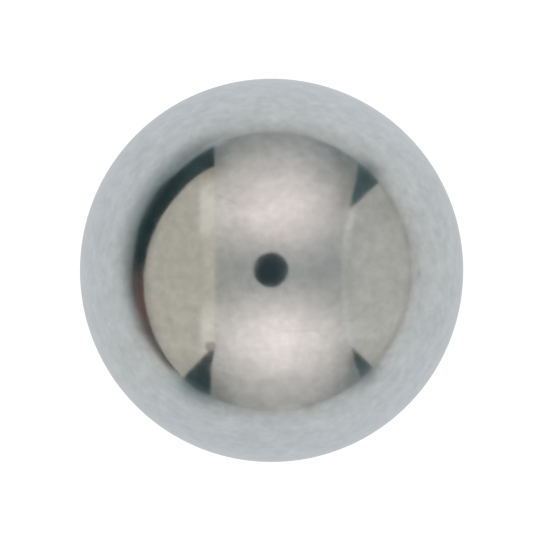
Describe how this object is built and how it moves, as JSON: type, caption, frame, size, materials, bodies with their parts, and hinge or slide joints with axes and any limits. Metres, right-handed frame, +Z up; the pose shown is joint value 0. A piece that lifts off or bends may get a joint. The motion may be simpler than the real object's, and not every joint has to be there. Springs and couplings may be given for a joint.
{
  "type": "steel ball",
  "caption": "Plain solid ball of mirror-polished steel, a true sphere with no hole, flat or seam, as used in bearings, ball seats and detents.",
  "frame": {"origin": "centre of the ball", "axes": "+Z up, away from what the ball lies on and towards the picture's camera; +X to the picture's right and +Y to its top. The ball is the same about every axis"},
  "size_m": [0.01, 0.01, 0.01],
  "materials": {
    "polished_steel": "polished"
  },
  "bodies": {
    "root": {"steel_ball": "polished_steel"}
  },
  "joints": []
}
